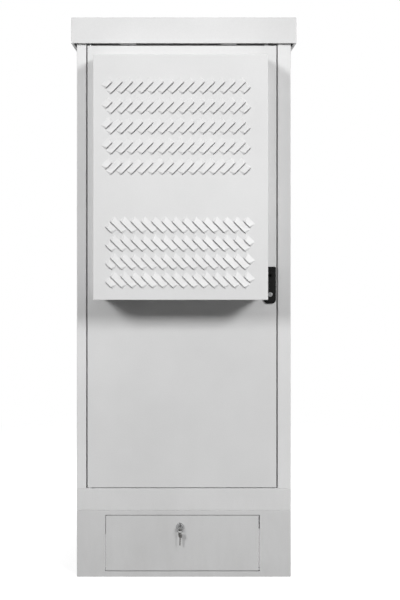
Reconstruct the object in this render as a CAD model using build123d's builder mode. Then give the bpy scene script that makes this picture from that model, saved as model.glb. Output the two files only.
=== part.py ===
from build123d import *
from math import sqrt
import os

os.makedirs("parts", exist_ok=True)

# Outdoor equipment cabinet, in millimetres.
# The origin is the centre of the plinth's underside, the front faces -Y and +Z is up.

# Driving dimensions of the body
body_width = 700
body_depth = 600
plinth_height = 217
base_height = 72
door_height = 1445
sheet = 2.0
bend = 3.0

# Roof
roof_height = 84
roof_overhang = 17
roof_hem = 8
roof_drop = 6
stiffener_height = 20
stiffener_width = 60
stiffener_spacing = 360
tab_width = 53
tab_height = 36
tab_centres = (-182, 147)

# Front frame and door
left_pillar = 31
right_pillar = 43
side_gap = 4
sill_gap = 3
header_gap = 10
door_depth = 24
door_lip = 18
gasket_thickness = 6
gasket_width = 10
rebate_width = 24
rebate_lip = 28
rear_flange = 30
wall_flange = 20

# Fits
running_clearance = 0.05
sliding_clearance = 0.25
seat_gap = 0.3

# Levels and planes worked out from them
sill_z = plinth_height + base_height
door_bottom = sill_z + sill_gap
door_top = door_bottom + door_height
header_z = door_top + header_gap
roof_z = door_top + roof_drop
roof_top = roof_z + roof_height
ceiling_top = roof_top - sheet - stiffener_height
wall_top = ceiling_top - sheet
front_y = -body_depth / 2
rear_y = body_depth / 2
half_width = body_width / 2
rebate_y = front_y + door_depth + gasket_thickness
opening_left = -half_width + left_pillar
opening_right = half_width - right_pillar
door_left = opening_left + side_gap
door_right = opening_right - side_gap
door_width = door_right - door_left
door_x = (door_left + door_right) / 2
door_z = (door_bottom + door_top) / 2
door_back = front_y + door_depth

# Plinth and its access panel
plinth_sheet = 2.5
plinth_flange = 60
plinth_top_flange = 40
anchor_spacing_x = 640
anchor_spacing_y = 540
anchor_hole = 14
joining_bolt = 10
panel_left = -255
panel_right = 245
panel_bottom = 20
panel_top = 200
panel_left_gap = 1.5
panel_right_gap = 3
panel_top_gap = 2
panel_bottom_gap = 2
panel_return = 12
pivot_inset = 6
pivot_pin = 6
pivot_ear = 3
pivot_ear_gap = 2

# Lock in the access panel
lock_x = -12
lock_z = 163.5
lock_head = 27
lock_head_height = 3
lock_barrel = 19
lock_length = 22
lock_plug = 12
lock_nut = 26
lock_nut_thickness = 4
tongue_length = 30
tongue_width = 14
tongue_thickness = 3
key_thickness = 2
key_bow = 18
key_blade = 24
key_blade_height = 6
key_hole = 4
key_neck = 4
key_hole_edge = 1.5
ring_radius = 7
ring_wire = 1.6
ring_slack = 0.12

# Hood on the door
hood_width = 538
hood_depth = 215
hood_height = 753
hood_bottom = 923
hood_x = -10
hood_rise = 26
hood_flange = 15
hood_hem = 14
hood_bolt = 6
hood_bolt_rows = 3
hood_bolt_inset = 60

# Louvres pressed in the hood
louvre_length = 56
louvre_reach = 19
louvre_rise = 6
louvre_end = 8
louvre_wall = 1.5
louvre_kerf = 1.6
louvre_end_wall = 1.8
louvre_crown_at = 0.5
louvre_crown = 0.56
louvre_pitch = 31.5
louvre_angle = 45
louvres_each_side = 7
louvre_short = 0.58
louvre_shift = -8
upper_rows = 5
upper_pitch = 62
upper_first_z = 1325.5
lower_rows = 4
lower_pitch = 56.2
lower_first_z = 977

# Fans and filter behind the hood
fan_size = 160
fan_depth = 38
fan_bore = 144
fan_tip_clearance = 2
fan_hub = 56
fan_blades = 7
fan_shaft = 10
fan_strut_width = 8
fan_strut_depth = 4
rotor_gap = 1
rotor_front = 6
blade_overlap = 2
blade_root_chord = 22
blade_root_angle = 40
blade_tip_chord = 30
blade_tip_angle = 62
blade_thickness = 2.5
fan_spacing = 230
fan_z = 1450
guard_bar = 3
guard_bars = 7
filter_width = 400
filter_height = 200
filter_depth = 18
filter_border = 12
filter_z = 1062
slot_length = 110
slot_height = 9
slot_pitch = 123
slot_columns = 3
slot_rows = 9

# Handle and lock rods on the door
handle_x = 281
dish_width = 40
dish_height = 120
dish_bottom = 894
dish_thickness = 7
dish_floor = 1
dish_corner = 14
dish_top_corner = 4
dish_chamfer = 1
spindle_drop = 20
hub_radius = 14
spindle = 10
tongue_of_hub = 9
tongue_inset = 1
lever_width = 30
lever_tip_width = 24
lever_length = 92
lever_thickness = 13.5
lever_wall = 2.5
lever_round = 2
lever_tip_corner = 10.8
lever_pin = 5
cylinder_drop = 69
cylinder_diameter = 15
cylinder_proud = 1.5
cylinder_chamfer = 0.6
cam_radius = 17
cam_thickness = 3
cam_y = front_y + 4
crank_radius = 12
crank_pin = 6
crank_slot_play = 1.2
strike_play = 2
rod_width = 14
rod_thickness = 3
rod_end = 8
rod_tip_gap = 2
guide_height = 12
guide_wall = 2
guide_inset = 60

stiffener_length_gap = 11
door_stiffener_width = 70
door_stiffener_depth = 16
door_stiffener_levels = (750, 1240)

# Door pivots
door_pivot_inset = 8
door_pin = 8
door_pin_reach = 24
bush_wall = 2
pin_head = 10
pin_head_height = 4

# Equipment rails
rail_spacing = 465.1
rail_flange = 45
rail_web = 40
rail_height = 1360
rail_bottom = 340
rail_front_y = -190
rail_rear_y = 220
rail_hole = 9.5
rail_unit = 44.45
rail_edge = 3
rail_hole_step = 15.875
rail_units = 30
bar_height = 40
bar_levels = 3
bar_spacing = 620
bar_first_z = 400

# Floor, earth bar and fasteners
grommet_hole = 70
grommet_bore = 46
grommet_lip = 6
grommet_count = 4
grommet_pitch = 110
grommet_y = 180
earth_length = 220
earth_width = 25
earth_thickness = 5
earth_standoff = 18
earth_y = 250
roof_bolt = 8
panel_screw_head = 13
panel_screw_rows = 5
panel_screw_inset = 60
earth_bolts_along = 7
standoff_radius = 11

# Head radius, head height and nut height of a bolt, as shares of its thread
bolt_head_radius = 0.9
bolt_head_height = 0.64
bolt_nut_height = 0.8

# Rounded fold where the plinth, the base frame and the walls meet
seam_round = 2


# Plinth: a welded ring with flanges, cut open at the front for the access panel
with BuildPart() as plinth:
    with BuildSketch():
        RectangleRounded(body_width, body_depth, bend)
        offset(amount=-plinth_sheet, mode=Mode.SUBTRACT)
    extrude(amount=plinth_height)
    with BuildSketch():
        RectangleRounded(body_width, body_depth, bend)
        Rectangle(body_width - 2 * plinth_flange, body_depth - 2 * plinth_flange, mode=Mode.SUBTRACT)
        with GridLocations(anchor_spacing_x, anchor_spacing_y, 2, 2):
            Circle(anchor_hole / 2, mode=Mode.SUBTRACT)
    extrude(amount=plinth_sheet)
    with BuildSketch(Plane.XY.offset(plinth_height)):
        RectangleRounded(body_width, body_depth, bend)
        Rectangle(
            body_width - 2 * plinth_top_flange, body_depth - 2 * plinth_top_flange, mode=Mode.SUBTRACT
        )
        with GridLocations(anchor_spacing_x, anchor_spacing_y, 2, 2):
            Circle(joining_bolt / 2, mode=Mode.SUBTRACT)
    extrude(amount=-plinth_sheet)
    opening_low = panel_bottom - panel_bottom_gap
    opening_high = panel_top + panel_top_gap
    panel_hole_left = panel_left - panel_left_gap
    panel_hole_right = panel_right + panel_right_gap
    panel_hole_x = (panel_hole_left + panel_hole_right) / 2
    panel_hole_z = (opening_low + opening_high) / 2
    with BuildSketch(Plane((panel_hole_x, front_y, panel_hole_z), x_dir=(1, 0, 0), z_dir=(0, 1, 0))):
        Rectangle(panel_hole_right - panel_hole_left, opening_high - opening_low)
    extrude(amount=plinth_sheet, mode=Mode.SUBTRACT)
    # Ears behind the front wall that carry the access panel's pivot pins
    pivot_y = front_y + pivot_inset
    pivot_z = panel_bottom + pivot_inset
    ear_height = 2 * pivot_inset + pivot_pin
    for edge_x in (panel_hole_left - pivot_ear_gap - pivot_ear, panel_hole_right + pivot_ear_gap):
        with BuildSketch(Plane.YZ.offset(edge_x)):
            with Locations((front_y + plinth_sheet, pivot_z - ear_height / 2)):
                Rectangle(ear_height, ear_height, align=(Align.MIN, Align.MIN))
            with Locations((pivot_y, pivot_z)):
                Circle(pivot_pin / 2 + running_clearance, mode=Mode.SUBTRACT)
        extrude(amount=pivot_ear)
    plinth_top = plinth.faces().group_by(Axis.Z)[-1].sort_by(SortBy.AREA)[-1]
    fillet(plinth_top.outer_wire().edges(), seam_round)

plinth.part.label = "plinth"
export_step(plinth.part, "parts/plinth.step")

# Access panel: a shallow tray standing flush in the plinth's front wall
panel_x = (panel_left + panel_right) / 2
panel_z = (panel_bottom + panel_top) / 2
panel_plane = Plane((panel_x, front_y, panel_z), x_dir=(1, 0, 0), z_dir=(0, -1, 0))
with BuildPart() as plinth_panel:
    with BuildSketch(panel_plane):
        Rectangle(panel_right - panel_left, panel_top - panel_bottom)
    extrude(amount=-panel_return)
    with BuildSketch(panel_plane.offset(-sheet)):
        Rectangle(panel_right - panel_left - 2 * sheet, panel_top - panel_bottom - 2 * sheet)
    extrude(amount=-panel_return, mode=Mode.SUBTRACT)
    with Locations(panel_plane.location * Location((lock_x - panel_x, lock_z - panel_z, 0))):
        Hole(lock_barrel / 2)
    with Locations(Plane((panel_x, pivot_y, pivot_z), z_dir=(1, 0, 0)).location):
        Hole(pivot_pin / 2)

plinth_panel.part.label = "plinth_panel"
export_step(plinth_panel.part, "parts/plinth_panel.step")

# Pins pressed into the tray's ends, turning in the plinth's ears
pin_reach = panel_left_gap + pivot_ear_gap + pivot_ear + sheet
with BuildPart() as panel_pivot_pins:
    with BuildSketch(Plane.YZ.offset(panel_left + sheet)):
        with Locations((pivot_y, pivot_z)):
            Circle(pivot_pin / 2)
    extrude(amount=-pin_reach)
    with BuildSketch(Plane.YZ.offset(panel_right - sheet)):
        with Locations((pivot_y, pivot_z)):
            Circle(pivot_pin / 2)
    extrude(amount=pin_reach + panel_right_gap - panel_left_gap)

panel_pivot_pins.part.label = "panel_pivot_pins"
export_step(panel_pivot_pins.part, "parts/panel_pivot_pins.step")

# Cam lock of the access panel: barrel, nut, plug, tongue, key, ring and spare key
lock_plane = Plane((lock_x, front_y, lock_z), x_dir=(1, 0, 0), z_dir=(0, -1, 0))
with BuildPart() as panel_lock:
    with BuildSketch(lock_plane):
        Circle(lock_head / 2)
    extrude(amount=lock_head_height)
    chamfer(panel_lock.faces().sort_by(Axis.Y)[0].edges(), 0.8)
    with BuildSketch(lock_plane):
        Circle(lock_barrel / 2)
    extrude(amount=-lock_length)
    with Locations(lock_plane.location):
        Hole(lock_plug / 2 + running_clearance)

panel_lock.part.label = "panel_lock"
export_step(panel_lock.part, "parts/panel_lock.step")

with BuildPart() as panel_lock_nut:
    with BuildSketch(lock_plane.offset(-sheet)):
        RegularPolygon(lock_nut / 2, 6)
        Circle(lock_barrel / 2, mode=Mode.SUBTRACT)
    extrude(amount=-lock_nut_thickness)

panel_lock_nut.part.label = "panel_lock_nut"
export_step(panel_lock_nut.part, "parts/panel_lock_nut.step")

plug_front = lock_head_height
plug_back = lock_length + seat_gap
with BuildPart() as panel_lock_plug:
    with BuildSketch(lock_plane.offset(plug_front)):
        Circle(lock_plug / 2)
    extrude(amount=-(plug_front + plug_back))
    with BuildSketch(lock_plane.offset(plug_front)):
        Rectangle(key_thickness + 2 * sliding_clearance, key_blade_height + 2 * sliding_clearance)
    extrude(amount=-(key_blade - key_neck + sliding_clearance), mode=Mode.SUBTRACT)

panel_lock_plug.part.label = "panel_lock_plug"
export_step(panel_lock_plug.part, "parts/panel_lock_plug.step")

with BuildPart() as panel_lock_tongue:
    with BuildSketch(lock_plane.offset(-plug_back)):
        with BuildLine():
            half_tongue = tongue_width / 2
            CenterArc((0, 0), half_tongue, 180, 180)
            Line((half_tongue, 0), (half_tongue, tongue_length))
            Line((half_tongue, tongue_length), (-half_tongue, tongue_length))
            Line((-half_tongue, tongue_length), (-half_tongue, 0))
        make_face()
    extrude(amount=-tongue_thickness)
    fillet(panel_lock_tongue.edges().filter_by(Axis.Y).group_by(Axis.Z)[-1], half_tongue / 3)

panel_lock_tongue.part.label = "panel_lock_tongue"
export_step(panel_lock_tongue.part, "parts/panel_lock_tongue.step")

# The key's bow and blade lie in a vertical plane, and its blade points back into the plug
bow_y = front_y - lock_head_height - key_neck - key_bow / 2
hole_inset = key_hole / 2 + key_hole_edge
key_plane = Plane((lock_x - key_thickness / 2, 0, 0), x_dir=(0, 1, 0), z_dir=(1, 0, 0))
with BuildPart() as key:
    with BuildSketch(key_plane):
        with Locations((bow_y, lock_z)):
            Circle(key_bow / 2)
        blade_back = front_y - lock_head_height + key_blade - key_neck
        with Locations((blade_back, lock_z)):
            Rectangle(blade_back - bow_y, key_blade_height, align=(Align.MAX, Align.CENTER))
        with Locations((bow_y - key_bow / 2 + hole_inset, lock_z)):
            Circle(key_hole / 2, mode=Mode.SUBTRACT)
    extrude(amount=key_thickness)

key.part.label = "key"
export_step(key.part, "parts/key.step")

# The ring hangs in the key's hole, and the spare key hangs from the ring
ring_y = bow_y - key_bow / 2 + hole_inset
ring_top_z = lock_z - (key_hole - ring_wire) / 2 + ring_slack
ring_z = ring_top_z - ring_radius
with BuildPart() as key_ring:
    with BuildSketch(Plane((lock_x, ring_y, ring_z))):
        with Locations((ring_radius, 0)):
            Circle(ring_wire / 2)
    revolve(axis=Axis((lock_x, ring_y, ring_z), (0, 1, 0)))

key_ring.part.label = "key_ring"
export_step(key_ring.part, "parts/key_ring.step")

spare_hole_z = ring_z - ring_radius - (key_hole - ring_wire) / 2 + ring_slack
spare_bow_z = spare_hole_z + hole_inset - key_bow / 2
with BuildPart() as spare_key:
    with BuildSketch(key_plane):
        with Locations((ring_y, spare_bow_z)):
            Circle(key_bow / 2)
            Rectangle(key_blade_height, key_bow / 2 + key_blade, align=(Align.CENTER, Align.MAX))
        with Locations((ring_y, spare_hole_z)):
            Circle(key_hole / 2, mode=Mode.SUBTRACT)
    extrude(amount=key_thickness)

spare_key.part.label = "spare_key"
export_step(spare_key.part, "parts/spare_key.step")

# Base frame: a welded ring on the plinth, with the sill lip that the door's seal closes on
with BuildPart() as base_frame:
    with BuildSketch(Plane.XY.offset(plinth_height)):
        RectangleRounded(body_width, body_depth, bend)
        offset(amount=-sheet, mode=Mode.SUBTRACT)
    extrude(amount=base_height)
    with BuildSketch(Plane.XY.offset(plinth_height)):
        RectangleRounded(body_width, body_depth, bend)
        Rectangle(
            body_width - 2 * plinth_top_flange, body_depth - 2 * plinth_top_flange, mode=Mode.SUBTRACT
        )
        with GridLocations(anchor_spacing_x, anchor_spacing_y, 2, 2):
            Circle(joining_bolt / 2, mode=Mode.SUBTRACT)
    extrude(amount=sheet)
    sill_depth = rebate_y - front_y
    with BuildSketch(Plane.XY.offset(sill_z)):
        RectangleRounded(body_width, body_depth, bend)
        with Locations((0, front_y + sill_depth)):
            Rectangle(
                body_width - 2 * wall_flange, body_depth - sill_depth - rear_flange,
                align=(Align.CENTER, Align.MIN), mode=Mode.SUBTRACT,
            )
        pivot_x = door_left + door_pivot_inset
        door_pivot_y = front_y + door_pivot_inset
        with Locations((pivot_x, door_pivot_y)):
            Circle(door_pin / 2, mode=Mode.SUBTRACT)
        rod_y = cam_y + cam_thickness + seat_gap + rod_thickness / 2
        crank_x = crank_radius * (2 + sqrt(2)) / 4
        lower_rod_x = handle_x + crank_x
        strike_width = rod_width + strike_play
        strike_depth = rod_thickness + strike_play
        with Locations((lower_rod_x, rod_y)):
            Rectangle(strike_width, strike_depth, mode=Mode.SUBTRACT)
    extrude(amount=-sheet)
    with BuildSketch(Plane.XZ.offset(-rebate_y)):
        with Locations((opening_left + rebate_width, sill_z)):
            Rectangle(
                opening_right - opening_left - 2 * rebate_width, rebate_lip - sill_gap,
                align=(Align.MIN, Align.MIN),
            )
        with Locations((opening_left + rebate_width, sill_z)):
            Rectangle(
                opening_right - opening_left - 2 * rebate_width, sheet,
                align=(Align.MIN, Align.MAX),
            )
    extrude(amount=-sheet)
    for seam_z in (plinth_height, sill_z):
        seam_faces = base_frame.faces().filter_by_position(Axis.Z, seam_z - sheet / 2, seam_z + sheet / 2)
        fillet(seam_faces.sort_by(SortBy.AREA)[-1].outer_wire().edges(), seam_round)

base_frame.part.label = "base_frame"
export_step(base_frame.part, "parts/base_frame.step")

# Bolts and nuts that join the base frame to the plinth
stack_low = plinth_height - plinth_sheet
stack_high = plinth_height + sheet
with BuildPart() as base_bolts:
    with BuildSketch(Plane.XY.offset(stack_low)):
        with GridLocations(anchor_spacing_x, anchor_spacing_y, 2, 2):
            Circle(joining_bolt / 2)
    extrude(amount=stack_high - stack_low)
    for level, height in ((stack_high, bolt_head_height * joining_bolt), (stack_low, -bolt_nut_height * joining_bolt)):
        with BuildSketch(Plane.XY.offset(level)):
            with GridLocations(anchor_spacing_x, anchor_spacing_y, 2, 2):
                RegularPolygon(bolt_head_radius * joining_bolt, 6)
        extrude(amount=height)

base_bolts.part.label = "base_bolts"
export_step(base_bolts.part, "parts/base_bolts.step")

# Side walls: each is one folded sheet with a front pillar, a rebate and a rear flange
with BuildPart() as left_side:
    with BuildSketch(Plane.XY.offset(sill_z)):
        with BuildLine():
            FilletPolyline(
                (opening_left + rebate_width, rebate_y),
                (opening_left, rebate_y),
                (opening_left, front_y),
                (-half_width, front_y),
                (-half_width, rear_y - sheet),
                (-half_width + rear_flange, rear_y - sheet),
                radius=bend,
            )
            offset(amount=sheet, side=Side.RIGHT)
        make_face()
    extrude(amount=wall_top - sill_z)
    with BuildSketch(Plane.XY.offset(wall_top)):
        with Locations((-half_width + sheet, rebate_y + sheet)):
            Rectangle(
                wall_flange - sheet, rear_y - rebate_y - 3 * sheet, align=(Align.MIN, Align.MIN)
            )
    extrude(amount=-sheet)

left_side.part.label = "left_side"
export_step(left_side.part, "parts/left_side.step")

with BuildPart() as right_side:
    with BuildSketch(Plane.XY.offset(sill_z)):
        with BuildLine():
            FilletPolyline(
                (opening_right - rebate_width, rebate_y),
                (opening_right, rebate_y),
                (opening_right, front_y),
                (half_width, front_y),
                (half_width, rear_y - sheet),
                (half_width - rear_flange, rear_y - sheet),
                radius=bend,
            )
            offset(amount=sheet, side=Side.LEFT)
        make_face()
    extrude(amount=wall_top - sill_z)
    with BuildSketch(Plane.XY.offset(wall_top)):
        with Locations((half_width - sheet, rebate_y + sheet)):
            Rectangle(
                wall_flange - sheet, rear_y - rebate_y - 3 * sheet, align=(Align.MAX, Align.MIN)
            )
    extrude(amount=-sheet)

right_side.part.label = "right_side"
export_step(right_side.part, "parts/right_side.step")

# Header over the door, with a lip behind the door's top edge
header_length = opening_right - opening_left
with BuildPart() as front_header:
    with BuildSketch(Plane.YZ.offset(opening_left)):
        with BuildLine():
            FilletPolyline(
                (rebate_y, wall_top),
                (front_y, wall_top),
                (front_y, header_z),
                (rebate_y, header_z),
                (rebate_y, header_z - rebate_lip),
                radius=bend,
            )
            offset(amount=sheet, side=Side.LEFT)
        make_face()
    extrude(amount=header_length)
    # The lip is cut back where the side walls' rebates stand
    with BuildSketch(Plane.XY.offset(header_z - rebate_lip)):
        for end_x in (opening_left, opening_right - rebate_width):
            with Locations((end_x, rebate_y - bend)):
                Rectangle(rebate_width, bend + 2 * sheet, align=(Align.MIN, Align.MIN))
    extrude(amount=wall_top - header_z + rebate_lip + sheet, mode=Mode.SUBTRACT)
    upper_rod_x = handle_x - crank_x
    with BuildSketch(Plane.XY.offset(header_z)):
        with Locations((pivot_x, door_pivot_y)):
            Circle(door_pin / 2)
        with Locations((upper_rod_x, rod_y)):
            Rectangle(strike_width, strike_depth)
    extrude(amount=sheet, mode=Mode.SUBTRACT)

front_header.part.label = "front_header"
export_step(front_header.part, "parts/front_header.step")

# Back panel, screwed on the side walls' rear flanges
with BuildPart() as back_panel:
    with BuildSketch(Plane.XZ.offset(-(rear_y - sheet))):
        with Locations((0, sill_z)):
            Rectangle(body_width, wall_top - sill_z, align=(Align.CENTER, Align.MIN))
    extrude(amount=-sheet)

back_panel.part.label = "back_panel"
export_step(back_panel.part, "parts/back_panel.step")

screw_columns = body_width - rear_flange
screw_span = wall_top - sill_z - 2 * panel_screw_inset
back_z = (sill_z + wall_top) / 2
with BuildPart() as back_panel_screws:
    with BuildSketch(Plane((0, rear_y, back_z), x_dir=(1, 0, 0), z_dir=(0, 1, 0))):
        with GridLocations(screw_columns, screw_span / (panel_screw_rows - 1), 2, panel_screw_rows):
            RegularPolygon(panel_screw_head / 2, 6)
    extrude(amount=panel_screw_head / 2)

back_panel_screws.part.label = "back_panel_screws"
export_step(back_panel_screws.part, "parts/back_panel_screws.step")

# Ceiling plate on the walls, with the roof's stiffeners and bolts
roof_bolt_spacing = body_width - 4 * stiffener_width
with BuildPart() as ceiling_plate:
    with BuildSketch(Plane.XY.offset(wall_top)):
        RectangleRounded(body_width, body_depth, bend)
        with GridLocations(roof_bolt_spacing, stiffener_spacing, 2, 2):
            Circle(roof_bolt / 2, mode=Mode.SUBTRACT)
    extrude(amount=sheet)

ceiling_plate.part.label = "ceiling_plate"
export_step(ceiling_plate.part, "parts/ceiling_plate.step")

with BuildPart() as roof_stiffeners:
    half_stiffener = stiffener_width / 2
    flange_z = ceiling_top + stiffener_height - sheet
    for line_y in (-stiffener_spacing / 2, stiffener_spacing / 2):
        with BuildSketch(Plane.YZ.offset(-half_width)):
            with BuildLine():
                FilletPolyline(
                    (line_y + half_stiffener, flange_z),
                    (line_y + half_stiffener / 2, flange_z),
                    (line_y + half_stiffener / 2, ceiling_top),
                    (line_y - half_stiffener / 2, ceiling_top),
                    (line_y - half_stiffener / 2, flange_z),
                    (line_y - half_stiffener, flange_z),
                    radius=bend,
                )
                offset(amount=sheet, side=Side.RIGHT)
            make_face()
        extrude(amount=body_width)
    with Locations((0, 0, ceiling_top + sheet / 2)):
        with GridLocations(roof_bolt_spacing, stiffener_spacing, 2, 2):
            Cylinder(roof_bolt / 2, 2 * sheet, mode=Mode.SUBTRACT)

roof_stiffeners.part.label = "roof_stiffeners"
export_step(roof_stiffeners.part, "parts/roof_stiffeners.step")

with BuildPart() as roof_bolts:
    with BuildSketch(Plane.XY.offset(wall_top)):
        with GridLocations(roof_bolt_spacing, stiffener_spacing, 2, 2):
            Circle(roof_bolt / 2)
    extrude(amount=2 * sheet + roof_bolt)
    with BuildSketch(Plane.XY.offset(wall_top)):
        with GridLocations(roof_bolt_spacing, stiffener_spacing, 2, 2):
            RegularPolygon(bolt_head_radius * roof_bolt, 6)
    extrude(amount=-bolt_head_height * roof_bolt)
    with BuildSketch(Plane.XY.offset(ceiling_top + sheet)):
        with GridLocations(roof_bolt_spacing, stiffener_spacing, 2, 2):
            RegularPolygon(bolt_head_radius * roof_bolt, 6)
    extrude(amount=bolt_nut_height * roof_bolt)

roof_bolts.part.label = "roof_bolts"
export_step(roof_bolts.part, "parts/roof_bolts.step")

# Roof: a folded cap with a skirt that overhangs the body and a hem along its lower edge
roof_width = body_width + 2 * roof_overhang
roof_depth = body_depth + 2 * roof_overhang
with BuildPart() as roof:
    with BuildSketch(Plane.XY.offset(roof_z)):
        Rectangle(roof_width, roof_depth)
    extrude(amount=roof_height)
    fillet(roof.edges().filter_by(Axis.Z), bend)
    fillet(roof.faces().sort_by(Axis.Z)[-1].edges(), bend)
    with BuildSketch(Plane.XY.offset(roof_z + sheet)):
        Rectangle(roof_width - 2 * sheet, roof_depth - 2 * sheet)
    extrude(amount=roof_height - 2 * sheet, mode=Mode.SUBTRACT)
    with BuildSketch(Plane.XY.offset(roof_z)):
        Rectangle(roof_width - 2 * roof_hem, roof_depth - 2 * roof_hem)
    extrude(amount=sheet, mode=Mode.SUBTRACT)

roof.part.label = "roof"
export_step(roof.part, "parts/roof.step")

# Tabs on the header that show in the gap between the door and the roof's skirt
with BuildPart() as roof_tabs:
    with BuildSketch(Plane.XZ.offset(-front_y)):
        for tab_x in tab_centres:
            with Locations((tab_x, roof_z - roof_drop / 2)):
                Rectangle(tab_width, tab_height, align=(Align.CENTER, Align.MIN))
    extrude(amount=sheet)

roof_tabs.part.label = "roof_tabs"
export_step(roof_tabs.part, "parts/roof_tabs.step")

# Door: a folded tray with an inward lip, cut for the fans, the filter, the handle and the rods
door_plane = Plane((door_x, front_y, door_z), x_dir=(1, 0, 0), z_dir=(0, -1, 0))
handle_z = dish_bottom + dish_height - spindle_drop
hood_bolt_width = hood_width - 2 * sheet - hood_flange
hood_bolt_pitch = (hood_height - 2 * hood_bolt_inset) / (hood_bolt_rows - 1)
hood_bolt_z = hood_bottom + hood_height / 2
fan_centres = [(-fan_spacing / 2, fan_z - door_z), (fan_spacing / 2, fan_z - door_z)]
with BuildPart() as door:
    with BuildSketch(door_plane):
        Rectangle(door_width, door_height)
    extrude(amount=-door_depth)
    with BuildSketch(door_plane.offset(-sheet)):
        Rectangle(door_width - 2 * sheet, door_height - 2 * sheet)
    extrude(amount=-(door_depth - 2 * sheet), mode=Mode.SUBTRACT)
    with BuildSketch(door_plane.offset(-(door_depth - sheet))):
        Rectangle(door_width - 2 * door_lip, door_height - 2 * door_lip)
    extrude(amount=-sheet, mode=Mode.SUBTRACT)
    with BuildSketch(door_plane):
        with Locations(fan_centres):
            Circle(fan_bore / 2)
        with Locations((0, filter_z - door_z)):
            with GridLocations(slot_pitch, slot_height * 2, slot_columns, slot_rows):
                Rectangle(slot_length, slot_height)
        with Locations((handle_x - door_x, handle_z - door_z)):
            Circle(spindle / 2 + sliding_clearance)
        with Locations((hood_x - door_x, hood_bolt_z - door_z)):
            with GridLocations(hood_bolt_width, hood_bolt_pitch, 2, hood_bolt_rows):
                Circle(hood_bolt / 2)
    extrude(amount=-sheet, mode=Mode.SUBTRACT)
    bush_radius = door_pin / 2 + bush_wall
    for edge_z, rod_x in ((door_top - sheet, upper_rod_x), (door_bottom, lower_rod_x)):
        with BuildSketch(Plane.XY.offset(edge_z)):
            with Locations((pivot_x, door_pivot_y)):
                Circle(bush_radius)
            with Locations((rod_x, rod_y)):
                Rectangle(rod_width + 2 * sliding_clearance, rod_thickness + 2 * sliding_clearance)
        extrude(amount=sheet, mode=Mode.SUBTRACT)

door.part.label = "door"
export_step(door.part, "parts/door.step")

# Bushes in the door's corners, and the pins of the header and the sill that they turn on
with BuildPart() as door_bushes:
    for bush_z, direction in ((door_top, -1), (door_bottom, 1)):
        with BuildSketch(Plane.XY.offset(bush_z)):
            with Locations((pivot_x, door_pivot_y)):
                Circle(bush_radius)
                Circle(door_pin / 2 + running_clearance, mode=Mode.SUBTRACT)
        extrude(amount=direction * door_pin_reach)

door_bushes.part.label = "door_bushes"
export_step(door_bushes.part, "parts/door_bushes.step")

with BuildPart() as upper_pivot_pin:
    with BuildSketch(Plane.XY.offset(header_z + sheet)):
        with Locations((pivot_x, door_pivot_y)):
            Circle(door_pin / 2)
    extrude(amount=-(sheet + header_gap + door_pin_reach))
    with BuildSketch(Plane.XY.offset(header_z + sheet)):
        with Locations((pivot_x, door_pivot_y)):
            Circle(pin_head / 2)
    extrude(amount=pin_head_height)

upper_pivot_pin.part.label = "upper_pivot_pin"
export_step(upper_pivot_pin.part, "parts/upper_pivot_pin.step")

with BuildPart() as lower_pivot_pin:
    with BuildSketch(Plane.XY.offset(sill_z - sheet)):
        with Locations((pivot_x, door_pivot_y)):
            Circle(door_pin / 2)
    extrude(amount=sheet + sill_gap + door_pin_reach)
    with BuildSketch(Plane.XY.offset(sill_z - sheet)):
        with Locations((pivot_x, door_pivot_y)):
            Circle(pin_head / 2)
    extrude(amount=-pin_head_height)
    with BuildSketch(Plane.XY.offset(sill_z)):
        with Locations((pivot_x, door_pivot_y)):
            Circle(bush_radius)
    extrude(amount=sill_gap - running_clearance)

lower_pivot_pin.part.label = "lower_pivot_pin"
export_step(lower_pivot_pin.part, "parts/lower_pivot_pin.step")

# Seal between the door's lip and the frame
with BuildPart() as door_gasket:
    with BuildSketch(Plane((door_x, door_back, door_z), x_dir=(1, 0, 0), z_dir=(0, 1, 0))):
        Rectangle(door_width - 2 * (door_lip - gasket_width), door_height - 2 * (door_lip - gasket_width))
        Rectangle(door_width - 2 * door_lip, door_height - 2 * door_lip, mode=Mode.SUBTRACT)
    extrude(amount=gasket_thickness - seat_gap)

door_gasket.part.label = "door_gasket"
export_step(door_gasket.part, "parts/door_gasket.step")

# One louvre: a wedge with its open edge along X, which slopes down to the sheet along Y
def louvre(length, reach, rise, depth, mouth):
    half = length / 2
    with BuildPart() as wedge:
        with BuildSketch(Plane.YZ.offset(-half)):
            with BuildLine():
                ThreePointArc((mouth, rise), (louvre_crown_at * reach, louvre_crown * rise), (reach, 0))
                Polyline((reach, 0), (reach, -depth), (mouth, -depth), (mouth, rise))
            make_face()
        extrude(amount=length)
        with BuildSketch(Plane.XZ.offset(-2 * reach)):
            with BuildLine():
                Polyline(
                    (-half, -depth), (-half, 0), (-half + louvre_end, rise), (half - louvre_end, rise),
                    (half, 0), (half, -depth), (-half, -depth),
                )
            make_face()
        extrude(amount=3 * reach, mode=Mode.INTERSECT)
    return wedge.part


def louvre_shell(length):
    inset = louvre_end_wall
    outside = louvre(length, louvre_reach, louvre_rise, sheet / 2, 0)
    inside = louvre(
        length - 2 * inset, louvre_reach - inset, louvre_rise - louvre_wall, 2 * sheet, -louvre_kerf
    )
    return outside, inside


# Where the louvres of one row stand: full ones, and a short one at each end
def louvre_places(row_z, lean):
    full = []
    short = []
    slope = lean * louvre_angle
    for number in range(-louvres_each_side, louvres_each_side + 1):
        spot = (louvre_shift + number * louvre_pitch, row_z - hood_bottom, 0)
        place = hood_face.location * Location(spot, (0, 0, slope))
        if abs(number) < louvres_each_side:
            full.append(place)
        else:
            end = -1 if number > 0 else 1
            short.append(place * Location((end * (1 - louvre_short) / 2 * louvre_length, 0, 0)))
    return full, short


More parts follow.
